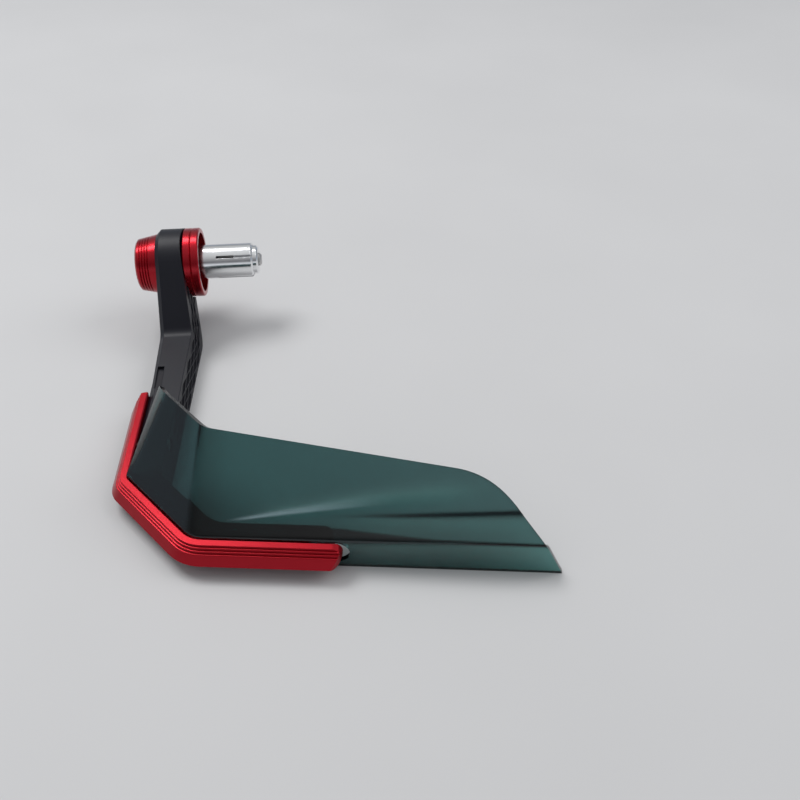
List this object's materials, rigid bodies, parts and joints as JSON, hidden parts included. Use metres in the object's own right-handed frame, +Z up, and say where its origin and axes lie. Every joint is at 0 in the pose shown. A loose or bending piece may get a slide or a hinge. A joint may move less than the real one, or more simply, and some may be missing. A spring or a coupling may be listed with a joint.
{
  "type": "motorcycle lever guard",
  "caption": "Bar-end lever guard: expander plug and turned cap, bent moulded arm with a grooved red guard bar, and a smoked folded wind deflector swept towards the tip.",
  "frame": {"origin": "on the handlebar axis, at the inboard face of the spacer ring", "axes": "+X inboard along the expander plug and the handlebar, -Y forward, +Z up; the guard lies on a level surface 31.5 mm below the origin"},
  "size_m": [0.1666, 0.186, 0.0475],
  "materials": {
    "moulded_nylon": "black moulded nylon, faintly grained",
    "red_anodised": "red anodised, satin",
    "smoked_sheet": "smoked clear sheet, glossy",
    "polished_aluminium": "turned and polished",
    "plated_steel": "zinc plated"
  },
  "bodies": {
    "root": {"guard_arm": "moulded_nylon", "guard_bar": "red_anodised", "wind_deflector": "smoked_sheet", "spacer_ring": "red_anodised", "bar_end_cap": "red_anodised", "expander_sleeve": "polished_aluminium", "cone_nut": "polished_aluminium", "clamp_bolt": "plated_steel", "rail_screws": "plated_steel"}
  },
  "joints": []
}
